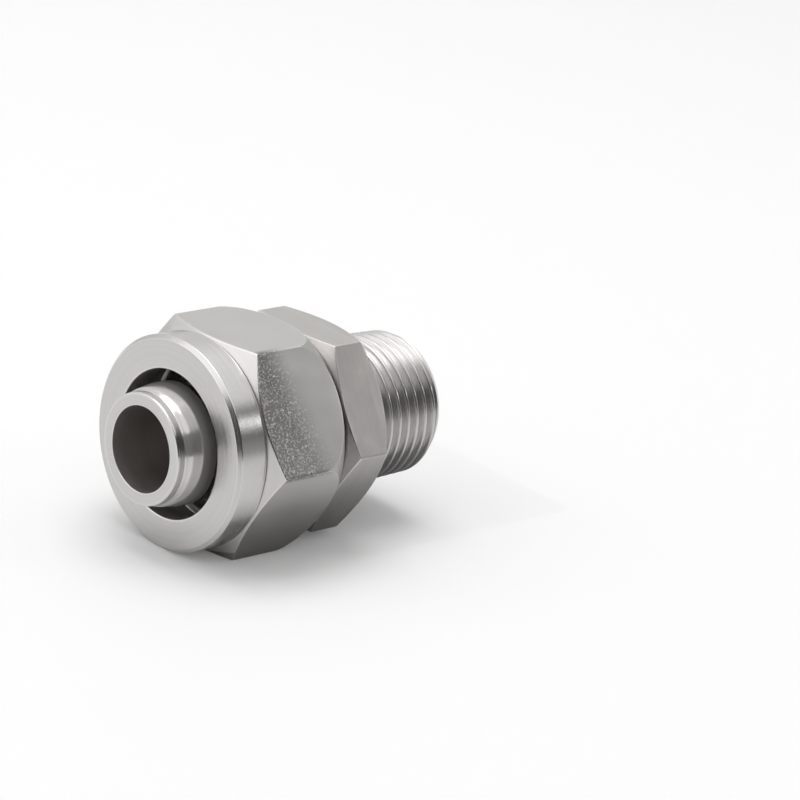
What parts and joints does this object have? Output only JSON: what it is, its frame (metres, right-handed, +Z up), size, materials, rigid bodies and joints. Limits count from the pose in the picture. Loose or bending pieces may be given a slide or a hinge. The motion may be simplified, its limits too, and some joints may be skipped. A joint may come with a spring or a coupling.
{
  "type": "push-on tube fitting",
  "caption": "Straight push-on tube fitting with a ridged spigot, a clamping nut and a tapered male pipe thread.",
  "frame": {"origin": "on the fitting's axis, at the shoulder where the body's hexagon meets the pipe thread", "axes": "+X along the axis out of the pipe thread, -X out of the tube spigot, +Z up with the fitting lying on a flat of its nut"},
  "size_m": [0.0376, 0.0278, 0.024],
  "materials": {
    "body_steel": "turned stainless steel with milled flats",
    "nut_steel": "turned stainless steel with milled flats"
  },
  "bodies": {
    "body": {"fitting_body": "body_steel"},
    "nut": {"clamp_nut": "nut_steel"}
  },
  "joints": [
    {"name": "nut_unscrew", "type": "slide", "parent": "body", "child": "nut", "axis": [-1, 0, 0], "range_m": [0, 0.02]}
  ]
}
